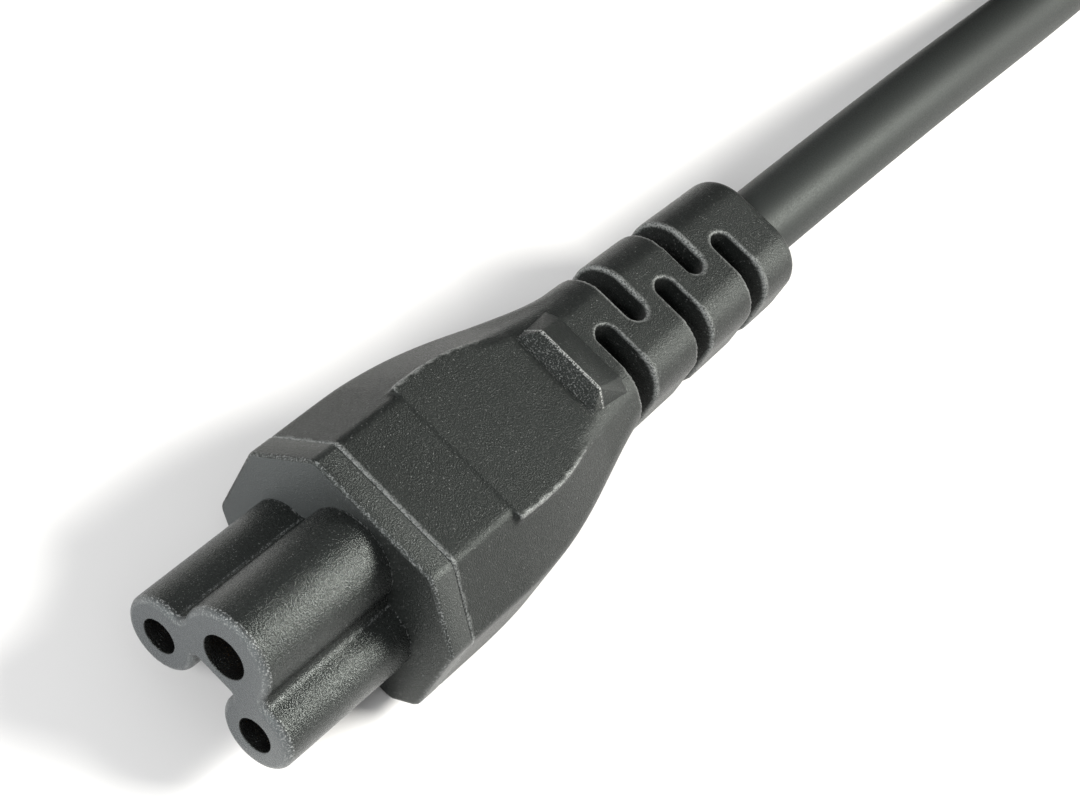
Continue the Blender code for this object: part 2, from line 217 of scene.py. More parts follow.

# %% [markdown]
# The connector is black PVC from a spark-eroded mould: an even matte grain about an eighth of a
# millimetre wide, a slight green in the black, and faint clouds where the plastic cooled at different
# speeds. Noise at those two sizes gives both, and the fine one also makes the bump. A few grains in a
# hundred stand out lighter, as dust and glints do. Outer edges, where mark_edges has marked them, are
# lighter and glossier: partly for wear, and their lighter colour is also a painted highlight along them.
# A dark colour and a light one set how black each piece is.

# %% Mouldings and jacket
GRAIN = 0.13 * MM
CLOUD = 7.0 * MM
SPECK = 0.15 * MM
BLACK_SHEEN = (0.92, 1.0, 0.96, 1.0)
# Colour of the outer edges: partly wear, partly a painted highlight along them.
WORN_EDGE_AND_HIGHLIGHT_COLOUR = grey(0.24, 1.04, 1.02)
LIGHTENED_SHARE = 0.85
WORN_GLOSS = 0.18
SPECK_COLOUR = grey(0.24, 1.03, 1.01)
GRAIN_SHARE = 0.7
ROUGHNESS_SPREAD = 0.07


def moulding(name, dark, light, roughness, depth, ior=1.34, specks=0.4):
    """A finish and its fine grain, which later steps may add to."""
    finish = Finish(name, IOR=ior, Specular_Tint=BLACK_SHEEN)
    place = finish.place()
    grain = finish.noise(place, GRAIN, 3.0, 0.6)
    cloud = finish.noise(place, CLOUD, 2.0)
    speck = finish.step(finish.noise(place, SPECK, 1.0), 0.69, 0.75)
    coarse = finish.step(grain, 0.40, 0.64)
    # Outer edges: painted lighter, partly for wear and partly as a painted highlight, and glossier.
    lightened = finish.edges() * finish.step(grain, 0.40, 0.56, 0.2, 1.0)
    base = finish.mix(cloud * (1 - GRAIN_SHARE) + coarse * GRAIN_SHARE, dark, light)
    base = finish.mix(lightened * LIGHTENED_SHARE, base, WORN_EDGE_AND_HIGHLIGHT_COLOUR)
    finish.feed("Base Color", finish.mix(speck * specks, base, SPECK_COLOUR))
    rough = finish.step(grain, 0.3, 0.7, roughness + ROUGHNESS_SPREAD, roughness - ROUGHNESS_SPREAD)
    finish.feed("Roughness", rough - lightened * WORN_GLOSS)
    finish.feed("Normal", finish.bump(grain, depth))
    return finish


BODY_DARK = grey(0.002, 1.14, 1.08)
BODY_LIGHT = grey(0.012, 1.14, 1.08)
JACKET_DARK = grey(0.010, 1.12, 1.08)
JACKET_LIGHT = grey(0.016, 1.12, 1.08)
body_finish = moulding("soft_black_pvc", BODY_DARK, BODY_LIGHT, roughness=0.40, depth=0.06 * MM)
nose_finish = moulding("nose_black_pvc", BODY_DARK, BODY_LIGHT, roughness=0.25, depth=0.07 * MM, ior=1.50)
cord_finish = moulding("jacket_black_pvc", JACKET_DARK, JACKET_LIGHT, roughness=0.55, depth=0.006 * MM,
                       ior=1.36, specks=0.02)
print("finishes:", [finish.material.name for finish in (body_finish, nose_finish, cord_finish)])


# %% Metals
STAIN = 2.0 * MM
SCRATCH = 0.15 * MM
SCRATCH_DEPTH = 0.004 * MM


def metal(name, dark, light, roughness):
    finish = Finish(name, Metallic=1.0)
    place = finish.place()
    stain = finish.noise(place, STAIN, 3.0)
    scratch = finish.noise(place, SCRATCH, 2.0)
    finish.feed("Base Color", finish.mix(stain, dark, light))
    finish.feed("Roughness", finish.step(scratch, 0.3, 0.7, roughness - 0.06, roughness + 0.08))
    finish.feed("Normal", finish.bump(scratch, SCRATCH_DEPTH))
    return finish


contact_finish = metal("contact_brass", (0.42, 0.27, 0.12, 1.0), (0.62, 0.45, 0.22, 1.0), roughness=0.34)
blade_finish = metal("blade_nickel", (0.55, 0.53, 0.48, 1.0), (0.74, 0.72, 0.66, 1.0), roughness=0.24)
print("metals:", contact_finish.material.name, blade_finish.material.name)

# %% [markdown]
# A new piece is shaped as a bmesh and then becomes an object that rides on the only body, root. Its
# object stays at the origin, so that its place is in its mesh.

# %% Piece helpers
SMOOTH_ANGLE = math.radians(40)
TINY = 0.001 * MM


def to_object(name, bm):
    """Turns a bmesh into an object at the origin."""
    mesh = bpy.data.meshes.new(name)
    bm.to_mesh(mesh)
    bm.free()
    made = bpy.data.objects.new(name, mesh)
    bpy.context.scene.collection.objects.link(made)
    return made


def joined(name, parts):
    """One object from several bmeshes."""
    whole = bmesh.new()
    for part in parts:
        mesh = bpy.data.meshes.new("part")
        part.to_mesh(mesh)
        part.free()
        whole.from_mesh(mesh)
        bpy.data.meshes.remove(mesh)
    return to_object(name, whole)


def applied(made):
    """Bakes an object's modifiers into its mesh, and removes them."""
    graph = bpy.context.evaluated_depsgraph_get()
    mesh = bpy.data.meshes.new_from_object(made.evaluated_get(graph))
    made.modifiers.clear()
    made.data = mesh
    return made


def use(made, finish, slot, *nodes):
    """Gives a finished piece its material, puts it on root and hides the imported parts that it stands for."""
    made.data.materials.clear()
    made.data.materials.append(finish.material)
    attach(made, "root")
    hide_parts(*nodes)
    print(made.name, "has", len(made.data.polygons), "faces")
    return made


def smoothed(made):
    """Shades a piece smooth, but for its sharp edges."""
    made.data.shade_smooth()
    made.data.set_sharp_from_angle(angle=SMOOTH_ANGLE)


def discard(*tools):
    for tool in tools:
        bpy.data.objects.remove(tool)


def boolean(made, tool, operation):
    modifier = made.modifiers.new(tool.name, "BOOLEAN")
    modifier.operation = operation
    modifier.solver = "EXACT"
    modifier.object = tool


def mark_edges(made, low, high, passes=2):
    """Stores how much each vertex stands out from its neighbours, 0 below low and 1 above high."""
    mesh = made.data
    count = len(mesh.vertices)
    places = np.empty(count * 3)
    mesh.vertices.foreach_get("co", places)
    places = places.reshape(-1, 3)
    normals = np.empty(count * 3)
    mesh.vertices.foreach_get("normal", normals)
    ends = np.empty(len(mesh.edges) * 2, dtype=int)
    mesh.edges.foreach_get("vertices", ends)
    first, second = ends.reshape(-1, 2).T
    links = np.bincount(first, minlength=count) + np.bincount(second, minlength=count)

    def around(values):
        total = np.bincount(first, values[second], count) + np.bincount(second, values[first], count)
        return total / links

    off = np.stack([around(column) for column in places.T], 1) - places
    out = -(off * normals.reshape(-1, 3)).sum(1)
    for _ in range(passes):
        out = (out + around(out)) / 2
    mark = mesh.attributes.new(EDGE_MARK, "FLOAT", "POINT")
    mark.data.foreach_set("value", np.clip((out - low) / (high - low), 0.0, 1.0))
    print(made.name, "edges:", [round(value / MM, 4) for value in np.percentile(out, (50, 90, 99)).tolist()])


def smooth_step(value):
    value = min(max(value, 0.0), 1.0)
    return value * value * (3 - 2 * value)


def mix(start, end, share):
    return start + (end - start) * share


def quarter(steps):
    """Angles from nought to a quarter turn."""
    return [math.pi / 2 * step / steps for step in range(steps + 1)]


def last_vert(made):
    """The vertex at which a spin of one vertex ended."""
    return next(item for item in made["geom_last"] if isinstance(item, bmesh.types.BMVert))


def extrude(bm, faces, offset):
    """Draws flat faces out into a solid."""
    grown = bmesh.ops.extrude_face_region(bm, geom=faces, use_keep_orig=True)
    moved = [item for item in grown["geom"] if isinstance(item, bmesh.types.BMVert)]
    bmesh.ops.translate(bm, verts=moved, vec=offset)
    bmesh.ops.recalc_face_normals(bm, faces=bm.faces)


def bevel(bm, edges, width, segments):
    bmesh.ops.bevel(bm, geom=edges, offset=width, segments=segments, profile=0.5, affect="EDGES", material=-1)


print("piece helpers ready")

# %% [markdown]
# The cord is one real length: out of the strain relief, down to the table, into a neat coil just past
# the view, and on to the plug. Its route is a list of given points where it isn't coiled, and
# a loop makes the turns. The coil is wound as a real one is: one turn on the table, up through the inner
# column of turns and down the outer one. A smooth curve goes through all the points.

# %% Cord route
CORD_DIAMETER = 6.8 * MM
CORD_RADIUS = CORD_DIAMETER / 2
FIT_GAP = 0.3 * MM
COIL_ROWS = 4
TAIL_ROW = 2
coil_low, coil_high = corners_of("cord_coil")
BODY_END = corners_of("body")[1].y
COIL_MIDDLE = (coil_low + coil_high) / 2
OUTER_TURN = (coil_high.x - coil_low.x) / 2 - CORD_RADIUS
INNER_TURN = OUTER_TURN - CORD_DIAMETER
FIRST_HEIGHT = 0.515
LAST_ANGLE = 2700
POINTS_A_TURN = 40
INWARDS_AT = 330
FIRST_RISE = 673
OUTWARDS_AT = 1736
FIRST_FALL = 2079
SIDEWAYS_SPREAD = 60
UPWARDS_SPREAD = 50
ROUTE_STEP = 4 * MM


def stepped(angle, middle, spread):
    """0 before a place on the coil, 1 after it, in degrees along the cord."""
    return smooth_step((angle - middle) / spread + 0.5)


def coil_point(angle):
    """Where the cord is after it has turned by an angle round the coil."""
    inwards = stepped(angle, INWARDS_AT, SIDEWAYS_SPREAD) - stepped(angle, OUTWARDS_AT, SIDEWAYS_SPREAD)
    rises = sum(stepped(angle, FIRST_RISE + 360 * turn, UPWARDS_SPREAD) for turn in range(COIL_ROWS - 1))
    falls = sum(stepped(angle, FIRST_FALL + 360 * turn, UPWARDS_SPREAD) for turn in range(COIL_ROWS - TAIL_ROW))
    radius = mix(OUTER_TURN, INNER_TURN, inwards)
    height = CORD_DIAMETER * (FIRST_HEIGHT + rises - falls)
    turn = math.radians(angle)
    return Vector((COIL_MIDDLE.x + radius * math.cos(turn), COIL_MIDDLE.y + radius * math.sin(turn), height))


def smooth_route(points, spacing):
    """Points along a smooth curve through the given points, about one spacing apart."""
    ends = [2 * points[0] - points[1]] + points + [2 * points[-1] - points[-2]]
    curve = []
    for before, start, end, after in zip(ends, ends[1:], ends[2:], ends[3:]):
        steps = max(1, round((end - start).length / spacing))
        for step in range(steps):
            share = step / steps
            curve.append(0.5 * (
                2 * start
                + (end - before) * share
                + (2 * before - 5 * start + 4 * end - after) * share ** 2
                + (3 * start - before - 3 * end + after) * share ** 3
            ))
    curve.append(points[-1])
    return curve


run = [Vector(point) * MM for point in (
    (0, 30.5, 9.0), (0, 45, 8.7), (0, 58, 8.0), (0, 70, 7.0),
    (0, 81, 5.6), (0, 91, 4.3), (0, 98, 3.7), (0, 110, 3.5),
)]
turns = [coil_point(angle) for angle in range(0, LAST_ANGLE + 1, 360 // POINTS_A_TURN)]
tail = [Vector(point) * MM for point in (
    (-77.1, 115, 10.3), (-77.1, 105, 10.2), (-76.8, 96, 10.0), (-75.2, 87.5, 10.0),
    (-73.1, 79, 10.6), (-72.1, 74, 10.9), (-72.0, 66, 11.0),
)]
route = smooth_route(run + turns + tail, ROUTE_STEP)
cord_length = sum((after - before).length for before, after in zip(route, route[1:]))
print("cord:", len(route), "points,", round(cord_length, 3), "m")


# %% Cord
def tube(name, points, radius):
    """A round tube along a curve of straight stretches short enough to look smooth."""
    data = bpy.data.curves.new(name, "CURVE")
    data.dimensions = "3D"
    data.bevel_depth = radius
    data.bevel_resolution = 10
    data.use_fill_caps = True
    spline = data.splines.new("POLY")
    spline.points.add(len(points) - 1)
    for target, point in zip(spline.points, points):
        target.co = (*point, 1.0)
    made = bpy.data.objects.new(name, data)
    bpy.context.scene.collection.objects.link(made)
    return made


cord = tube("power_lead", route, CORD_RADIUS)
cord.data.materials.append(cord_finish.material)
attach(cord, "root")
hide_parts("cord", "cord_coil", "cord_tail")
print("cord made")

# %% [markdown]
# Many outlines here are polygons with rounded corners. A polygon is one face, and a vertex bevel rounds
# all its corners, which saves working out any arc. Where sections change along a piece, each one is
# drawn like that as a loop, and bridge_loops joins it to the one before.

# %% Sections
CORNER_STEPS = 7


def rounded(corners, rounding):
    """The points of a polygon in the XZ plane after a vertex bevel."""
    bm = bmesh.new()
    face = bm.faces.new([bm.verts.new((x, 0.0, z)) for x, z in corners])
    bmesh.ops.bevel(bm, geom=list(face.verts), offset=rounding, segments=CORNER_STEPS, profile=0.5,
                    affect="VERTICES", material=-1, clamp_overlap=True)
    points = [vert.co.copy() for vert in max(bm.faces, key=lambda face: face.calc_area()).verts]
    bm.free()
    return points


def add_loop(bm, points, y):
    """A closed loop of edges at a place along Y."""
    verts = [bm.verts.new((point.x, y, point.z)) for point in points]
    return [bm.edges.new((verts[index - 1], verts[index])) for index in range(len(verts))]


def loft(loops):
    """A closed bmesh through loops, each given as its points and its place along Y."""
    bm = bmesh.new()
    rows = [add_loop(bm, points, y) for points, y in loops]
    for row, following in zip(rows, rows[1:]):
        bmesh.ops.bridge_loops(bm, edges=row + following)
    bmesh.ops.contextual_create(bm, geom=rows[0])
    bmesh.ops.contextual_create(bm, geom=rows[-1])
    bmesh.ops.recalc_face_normals(bm, faces=bm.faces)
    return bm


print("a rounded square has", len(rounded(((1, -1), (1, 1), (-1, 1), (-1, -1)), 0.3)), "points")

# %% [markdown]
# The nose is one moulding with its flange: three lobes, one for each pin, on a flat octagon. The lobes'
# outline is drawn by spinning one vertex round the centre of each lobe and of each fillet between them in
# turn, and is then extruded. Its front edge gets a wide bevel, as the mould has. Booleans join the two
# and cut the pin holes.

# %% Nose sizes
nose_low, nose_high = corners_of("nose_insert")
NOSE_FACE = nose_low.y
FLANGE_BACK = nose_high.y
FLANGE_FRONT = NOSE_FACE + 13.7 * MM
BODY_FRONT = corners_of("body")[0].y
SEAM_GAP = 0.04 * MM
PIN_LINE = 6.1 * MM
PIN_SPACING = 10.0 * MM
EARTH_RISE = 4.7 * MM
SIDE_LOBE = 3.25 * MM
EARTH_LOBE = 4.1 * MM
EARTH_LOBE_RISE = 4.5 * MM
LOBE_FILLET = 1.0 * MM
WEB_FILLET = 0.35 * MM
WEB_RISE = 1.6 * MM
NOSE_EDGE = 0.65 * MM
LOBES_SHORT = 0.5 * MM
POLES = {
    "line": (-PIN_SPACING / 2, PIN_LINE, 2.4 * MM),
    "neutral": (PIN_SPACING / 2, PIN_LINE, 2.4 * MM),
    "earth": (0.0, PIN_LINE + EARTH_RISE, 3.2 * MM),
}
print("nose", round((FLANGE_FRONT - NOSE_FACE) / MM, 1), "mm long")

# %% Nose outline
LOBE_STEPS = 40
FILLET_STEPS = 10
SIDE_CENTRE = Vector((PIN_SPACING / 2, PIN_LINE))
EARTH_CENTRE = Vector((0.0, PIN_LINE + EARTH_LOBE_RISE))


def arc_to(bm, vert, centre, end, steps):
    """Draws an arc from a vertex round a centre. More steps mean a convex, anticlockwise arc."""
    turn = 1 if steps == LOBE_STEPS else -1
    first = math.atan2(vert.co.z - centre.y, vert.co.x - centre.x)
    last = math.atan2(end.y - centre.y, end.x - centre.x)
    made = bmesh.ops.spin(bm, geom=[vert], cent=(centre.x, vert.co.y, centre.y), axis=(0, -turn, 0),
                          angle=(turn * (last - first)) % math.tau, steps=steps)
    return last_vert(made)


def lobe_fillet():
    """The centre of the fillet that lies in the crease between the earth lobe and the right lobe."""
    from_earth = EARTH_LOBE + LOBE_FILLET
    from_side = SIDE_LOBE + LOBE_FILLET
    apart = (SIDE_CENTRE - EARTH_CENTRE).length
    along = (apart ** 2 + from_earth ** 2 - from_side ** 2) / (2 * apart)
    direction = (SIDE_CENTRE - EARTH_CENTRE) / apart
    off = Vector((-direction.y, direction.x)) * math.sqrt(from_earth ** 2 - along ** 2)
    return EARTH_CENTRE + direction * along + off


def web_fillet():
    """The centre of the fillet between the web's underside and the right lobe."""
    z = WEB_RISE - WEB_FILLET
    return Vector((PIN_SPACING / 2 - math.sqrt((SIDE_LOBE + WEB_FILLET) ** 2 - z ** 2), PIN_LINE + z))


def touch(centre, radius, other):
    """Where a circle touches the one round the other centre."""
    return centre + (other - centre).normalized() * radius


def mirrored(point):
    return Vector((-point.x, point.y))


def lobes_bmesh(start, end):
    crease = lobe_fillet()
    corner = web_fillet()
    web_end = corner + Vector((0.0, WEB_FILLET))
    side_start = touch(SIDE_CENTRE, SIDE_LOBE, corner)
    side_end = touch(SIDE_CENTRE, SIDE_LOBE, crease)
    earth_start = touch(EARTH_CENTRE, EARTH_LOBE, crease)
    bm = bmesh.new()
    vert = bm.verts.new((web_end.x, start, web_end.y))
    for centre, arc_end, steps in (
        (corner, side_start, FILLET_STEPS),
        (SIDE_CENTRE, side_end, LOBE_STEPS),
        (crease, earth_start, FILLET_STEPS),
        (EARTH_CENTRE, mirrored(earth_start), LOBE_STEPS),
        (mirrored(crease), mirrored(side_end), FILLET_STEPS),
        (mirrored(SIDE_CENTRE), mirrored(side_start), LOBE_STEPS),
        (mirrored(corner), mirrored(web_end), FILLET_STEPS),
    ):
        vert = arc_to(bm, vert, centre, arc_end, steps)
    bm.verts.ensure_lookup_table()
    bm.edges.new((vert, bm.verts[0]))
    front = bmesh.ops.contextual_create(bm, geom=bm.edges[:])["faces"]
    extrude(bm, front, (0, end - start, 0))
    return bm


def bevel_rim(bm, y, width, segments):
    """Rounds the edges that lie all the way at one place along Y."""
    rim = [edge for edge in bm.edges if all(abs(vert.co.y - y) < TINY for vert in edge.verts)]
    bevel(bm, rim, width, segments)


lobes = lobes_bmesh(NOSE_FACE, FLANGE_BACK - LOBES_SHORT)
bevel_rim(lobes, NOSE_FACE, NOSE_EDGE, 6)
lobes_tool = to_object("nose_lobes", lobes)
print("lobes:", len(lobes_tool.data.polygons), "faces")

# %% [markdown]
# Each pin hole is cut by a turned tool: a profile spun round the hole's axis. It flares where it meets
# the face, so that the hole gets a small rounded lip, and it widens behind the face wall, where the
# contact sits.

# %% Hole tools
FACE_WALL = 2.2 * MM
PIN_CLEARANCE = 0.3 * MM
SLEEVE_WALL = 0.4 * MM
HOLE_LIP = 0.10 * MM
RING_STEPS = 48


def spun(profile, x, z, turn=math.tau):
    """A solid turned round an axis along Y from a closed profile of (radius, place) points."""
    bm = bmesh.new()
    verts = [bm.verts.new((x + radius, y, z)) for radius, y in profile]
    edges = [bm.edges.new((verts[index - 1], verts[index])) for index in range(len(verts))]
    whole = turn == math.tau
    bmesh.ops.spin(bm, geom=verts + edges, cent=(x, 0, z), axis=(0, 1, 0), angle=turn, steps=RING_STEPS,
                   use_merge=whole)
    bmesh.ops.remove_doubles(bm, verts=bm.verts, dist=TINY)
    loose = [edge for edge in bm.edges if not edge.link_faces]
    bmesh.ops.delete(bm, geom=loose, context="EDGES")
    if not whole:
        bmesh.ops.holes_fill(bm, edges=[edge for edge in bm.edges if edge.is_boundary], sides=0)
    bmesh.ops.recalc_face_normals(bm, faces=bm.faces)
    return bm


def hole_tool(name, x, z, pin):
    hole = pin / 2 + PIN_CLEARANCE
    chamber = pin / 2 + SLEEVE_WALL + FIT_GAP
    wall_end = NOSE_FACE + FACE_WALL
    flare = [
        (hole + HOLE_LIP * (1 - math.sin(angle)), NOSE_FACE + HOLE_LIP * (1 - math.cos(angle)))
        for angle in quarter(4)
    ]
    profile = [(0, NOSE_FACE - MM), (hole + HOLE_LIP, NOSE_FACE - MM)] + flare + [
        (hole, wall_end), (chamber, wall_end), (chamber, FLANGE_BACK + MM), (0, FLANGE_BACK + MM)]
    return to_object(name + "_hole", spun(profile, x, z))


hole_tools = [hole_tool(name, x, z, pin) for name, (x, z, pin) in POLES.items()]
print("hole tools:", [tool.name for tool in hole_tools])

# %% [markdown]
# The body's section changes all along its length. At the front it is the flange's octagon: a flat top,
# sloping shoulders, upright sides. Behind the crease the top starts to fall, and the sides swing in
# along an ogee to the strain relief, whose section is a square with wide round corners. From the crease
# on, a wider panel lies on the top, a tenth of a millimetre proud, with walls that run out into the
# shoulders.

# %% Body sections
BODY_WIDTH = 21.8 * MM
BODY_HEIGHT = 15.7 * MM
TOP_WIDTH = 12.4 * MM
SHOULDER_DROP = 5.4 * MM
LOWER_CORNER = 2.0 * MM
FRONT_ROUNDING = 0.42 * MM
END_DOME = 1.3 * MM
BODY_LENGTH = BODY_END + END_DOME - BODY_FRONT
OGEE_START = 3.0 * MM
OGEE_LENGTH = 25.5 * MM
OGEE_BIAS = 1.6
CREASE_PLACE = 7.3 * MM
PANEL_WIDER = 0.9 * MM
PANEL_RISE = 0.10 * MM
PANEL_DEPTH = 1.6 * MM
PANEL_FALL = 0.4 * MM
PANEL_ROUNDING = 0.15 * MM
PANEL_SINK = 13.0 * MM
PANEL_END = 22.0 * MM
TOP_FALL = 13.0 * MM
UNDERSIDE_FLAT = 15.0 * MM
WAIST_WIDTH = 12.7 * MM
WAIST_TOP = 14.3 * MM
WAIST_BOTTOM = 3.4 * MM
TAIL_WIDTH = 11.85 * MM
TAIL_DROP = 0.5 * MM
TAIL_CORNER = 2.1 * MM
TAIL_ROUNDING = 1.3 * MM


def body_section(place, shrink=0.0, panel=False):
    """The outline of the body, or of the panel on its top, at a distance behind the body's front."""
    ogee_end = OGEE_START + OGEE_LENGTH
    share = smooth_step((max(place - OGEE_START, 0.0) / OGEE_LENGTH) ** OGEE_BIAS)
    falling = min(max((place - CREASE_PLACE) / TOP_FALL, 0.0), 1.0)
    rising = smooth_step((place - UNDERSIDE_FLAT) / (ogee_end - UNDERSIDE_FLAT))
    tail = max(place - ogee_end, 0.0) / (BODY_LENGTH - ogee_end)
    half = mix(BODY_WIDTH, WAIST_WIDTH, share) / 2 - (WAIST_WIDTH - TAIL_WIDTH) / 2 * tail - shrink
    top = mix(BODY_HEIGHT, WAIST_TOP, falling) - TAIL_DROP * tail - shrink
    bottom = mix(0.0, WAIST_BOTTOM, rising) + TAIL_DROP * tail + shrink
    drop = mix(SHOULDER_DROP, TAIL_CORNER, share)
    lower = mix(LOWER_CORNER, TAIL_CORNER, share)
    front_inset = (BODY_WIDTH - TOP_WIDTH) / 2
    along = min(max(place - CREASE_PLACE, 0.0) / (ogee_end - CREASE_PLACE), 1.0)
    if panel:
        sunk = smooth_step((place - PANEL_SINK) / (PANEL_END - PANEL_SINK))
        side = half - mix(front_inset - PANEL_WIDER * (1 - sunk), TAIL_CORNER, along)
        ceiling = top + PANEL_RISE - PANEL_FALL * sunk
        floor = top - PANEL_DEPTH
        return rounded(((side, floor), (side, ceiling), (-side, ceiling), (-side, floor)), PANEL_ROUNDING)
    inset = mix(front_inset, TAIL_CORNER, along)
    corners = (
        (half - lower, bottom), (half, bottom + lower), (half, top - drop), (half - inset, top),
        (inset - half, top), (-half, top - drop), (-half, bottom + lower), (lower - half, bottom),
    )
    return rounded(corners, mix(FRONT_ROUNDING, TAIL_ROUNDING, share))


print("section points:", len(body_section(0.0)))

# %% Nose
FLANGE_EDGE = 0.35 * MM
SEAM_EDGE = 0.07 * MM
# Width of the painted highlight along the creases between the earth lobe and the side lobes.
CREASE_LINE = 0.14 * MM
# Painted light on the nose's flat face and its rounded rim.
FACE_PAINTED_LIGHT_COLOUR = grey(0.078, 1.08, 1.14)
# Painted light on the flange's front face, lighter on the left.
FLANGE_PAINTED_LIGHT_COLOUR = grey(0.085, 1.08, 1.10)
# Painted glints on the rims, the lobes' root and the creases.
PAINTED_GLINT_COLOUR = grey(0.20, 1.04, 1.04)
# Painted shade in the pin holes.
HOLE_PAINTED_SHADE_COLOUR = grey(0.003)
FLANGE_ROUGHER = 0.15
FRONT_BLUR = 0.01 * MM
# Where grains get painted glints, given from an origin along Y: the lobes' root at the flange, the flange's
# front edge and the face's rim.
ROOT_RING = (-0.16 * MM, -0.04 * MM, 0.03 * MM)
FLANGE_RIM = (0.04 * MM, 0.28 * MM, 0.04 * MM)
FACE_RIM = (0.06 * MM, NOSE_EDGE, 0.05 * MM)
FLANGE_FRONT_BAND = (-FRONT_BLUR, FRONT_BLUR, FRONT_BLUR)


def within(x, z, centre_x, centre_z, radius):
    """1 inside a circle round an axis along Y."""
    off_x = x - centre_x
    off_z = z - centre_z
    return (off_x * off_x + off_z * off_z) < radius ** 2


def finish_nose():
    """Paints light onto the face and the flange's front, paints glints along their rims and the creases, and
    paints shade into the insides of the pin holes.
    """
    finish = nose_finish
    x, y, z = finish.axes(finish.place())
    grain = finish.noise(finish.place(), GRAIN, 2.0)
    # Painted shade: the insides of the pin holes are painted near black.
    hole_shade = 0.0
    for pole_x, pole_z, pin in POLES.values():
        hole_shade = hole_shade + within(x, z, pole_x, pole_z, pin / 2 + PIN_CLEARANCE + HOLE_LIP / 2)
    # Painted light: the face and its rounded rim are painted lighter, with a ragged back edge from the grain.
    lit_face_place = y + (grain - 0.5) * NOSE_EDGE
    lightened = finish.step(lit_face_place, NOSE_FACE + 0.1 * MM, NOSE_FACE + NOSE_EDGE, 1.0, 0.0)
    # Painted highlight: a thin line along each crease between the earth lobe and a side lobe.
    crease = lobe_fillet()
    crease += (Vector((SIDE_CENTRE.x, EARTH_CENTRE.y)) / 2 - crease).normalized() * LOBE_FILLET
    line = within(finish.absolute(x), z, crease.x, crease.y, CREASE_LINE)
    # Painted glints: grains along the lobes' root, the flange's front edge, the face's rim and the creases are
    # painted light.
    ring = finish.near(y, FLANGE_FRONT, ROOT_RING)
    edge = finish.near(y, FLANGE_FRONT, FLANGE_RIM)
    rim = finish.near(y, NOSE_FACE, FACE_RIM)
    painted_glints = finish.step(grain, 0.50, 0.64) * (edge * 0.6 + rim + ring * 0.5 + line * 0.5)
    # Painted light: the flange's front face is painted lighter, most on the left and fading to none right of
    # the middle.
    front = finish.near(y, FLANGE_FRONT, FLANGE_FRONT_BAND) * finish.step(x, -8 * MM, 3 * MM, 0.6, 0.0)
    colour = finish.mix(front, finish.fed("Base Color"), FLANGE_PAINTED_LIGHT_COLOUR)
    colour = finish.mix(lightened * LIGHTENED_SHARE, colour, FACE_PAINTED_LIGHT_COLOUR)
    colour = finish.mix(painted_glints, colour, PAINTED_GLINT_COLOUR)
    finish.feed("Base Color", finish.mix(hole_shade, colour, HOLE_PAINTED_SHADE_COLOUR))
    flange = y > FLANGE_FRONT - FRONT_BLUR
    finish.feed("Roughness", finish.fed("Roughness") + flange * FLANGE_ROUGHER)


def build_nose():
    back = BODY_FRONT - SEAM_GAP
    outline = body_section(0.0)
    flange = loft([(outline, FLANGE_FRONT), (outline, back)])
    bevel_rim(flange, FLANGE_FRONT, FLANGE_EDGE, 4)
    bevel_rim(flange, back, SEAM_EDGE, 2)
    nose = to_object("cloverleaf_nose", flange)
    boolean(nose, lobes_tool, "UNION")
    for tool in hole_tools:
        boolean(nose, tool, "DIFFERENCE")
    applied(nose)
    smoothed(nose)
    discard(lobes_tool, *hole_tools)
    return use(nose, nose_finish, "nose_pvc", "nose_insert")


finish_nose()
build_nose()

# %% [markdown]
# Behind each hole sits a contact: a brass sleeve with a slit, so that it springs, and a flared mouth
# that guides the pin. Its wall is a small profile turned nearly all the way round, and the slit is what
# is left.

# %% Contacts
SLIT = math.radians(24)
MOUTH_FLARE = 0.18 * MM


def build_contact(name, x, z, pin):
    inner = pin / 2
    outer = inner + SLEEVE_WALL
    start = NOSE_FACE + FACE_WALL + FIT_GAP
    profile = [
        (inner + MOUTH_FLARE, start), (outer, start + 0.1 * MM), (outer, FLANGE_BACK), (inner, FLANGE_BACK),
        (inner, start + 2.5 * MOUTH_FLARE), (inner + MOUTH_FLARE / 3, start + MOUTH_FLARE),
    ]
    contact = to_object(name + "_sleeve", spun(profile, x, z, math.tau - SLIT))
    smoothed(contact)
    return use(contact, contact_finish, "contact_metal", name + "_contact")


for name, (x, z, pin) in POLES.items():
    build_contact(name, x, z, pin)

# %% [markdown]
# The real strain relief bends because slots are cut into it in turn from the right and from the left,
# each past the middle and with a round end. They stop at a core round the conductors. The thumb grip is a
# wedge, made as the hull of its corners. It stays a piece of its own, so that its edges stay crisp. Its
# face has the coarse bumped grain of a rough mould with painted glints, and a painted highlight runs along its
# crest.

# %% Grip and slots
SLOT_COUNT = 5
SLOT_PITCH = 4.2 * MM
SLOT_WIDTH = 2.3 * MM
SLOT_PAST_MIDDLE = 0.9 * MM
LAST_SLOT_FROM_END = 5.2 * MM
CORE_DIAMETER = 5.2 * MM
CORE_HEIGHT = 9.0 * MM
GRIP_FOOT = Vector((4.36, 3.8, 14.3)) * MM
GRIP_CREST = Vector((3.22, 5.0, 15.75)) * MM
GRIP_BACK = Vector((3.4, 8.3, 14.5)) * MM
GRIP_BACK_FOOT = Vector((4.7, 8.3, 13.8)) * MM
GRIP_DEPTH = 2.0 * MM
GRIP_EDGE = 0.1 * MM
GRIP_BLUR = 0.1 * MM
GLITTER = 0.12 * MM
GLITTER_DEPTH = 0.08 * MM
# Painted glints on the grip's face and a painted highlight along its crest.
GRIP_GLINT_COLOUR = grey(0.30, 1.03, 1.0)
CREST_BAND = (-0.10 * MM, 0.06 * MM, 0.04 * MM)


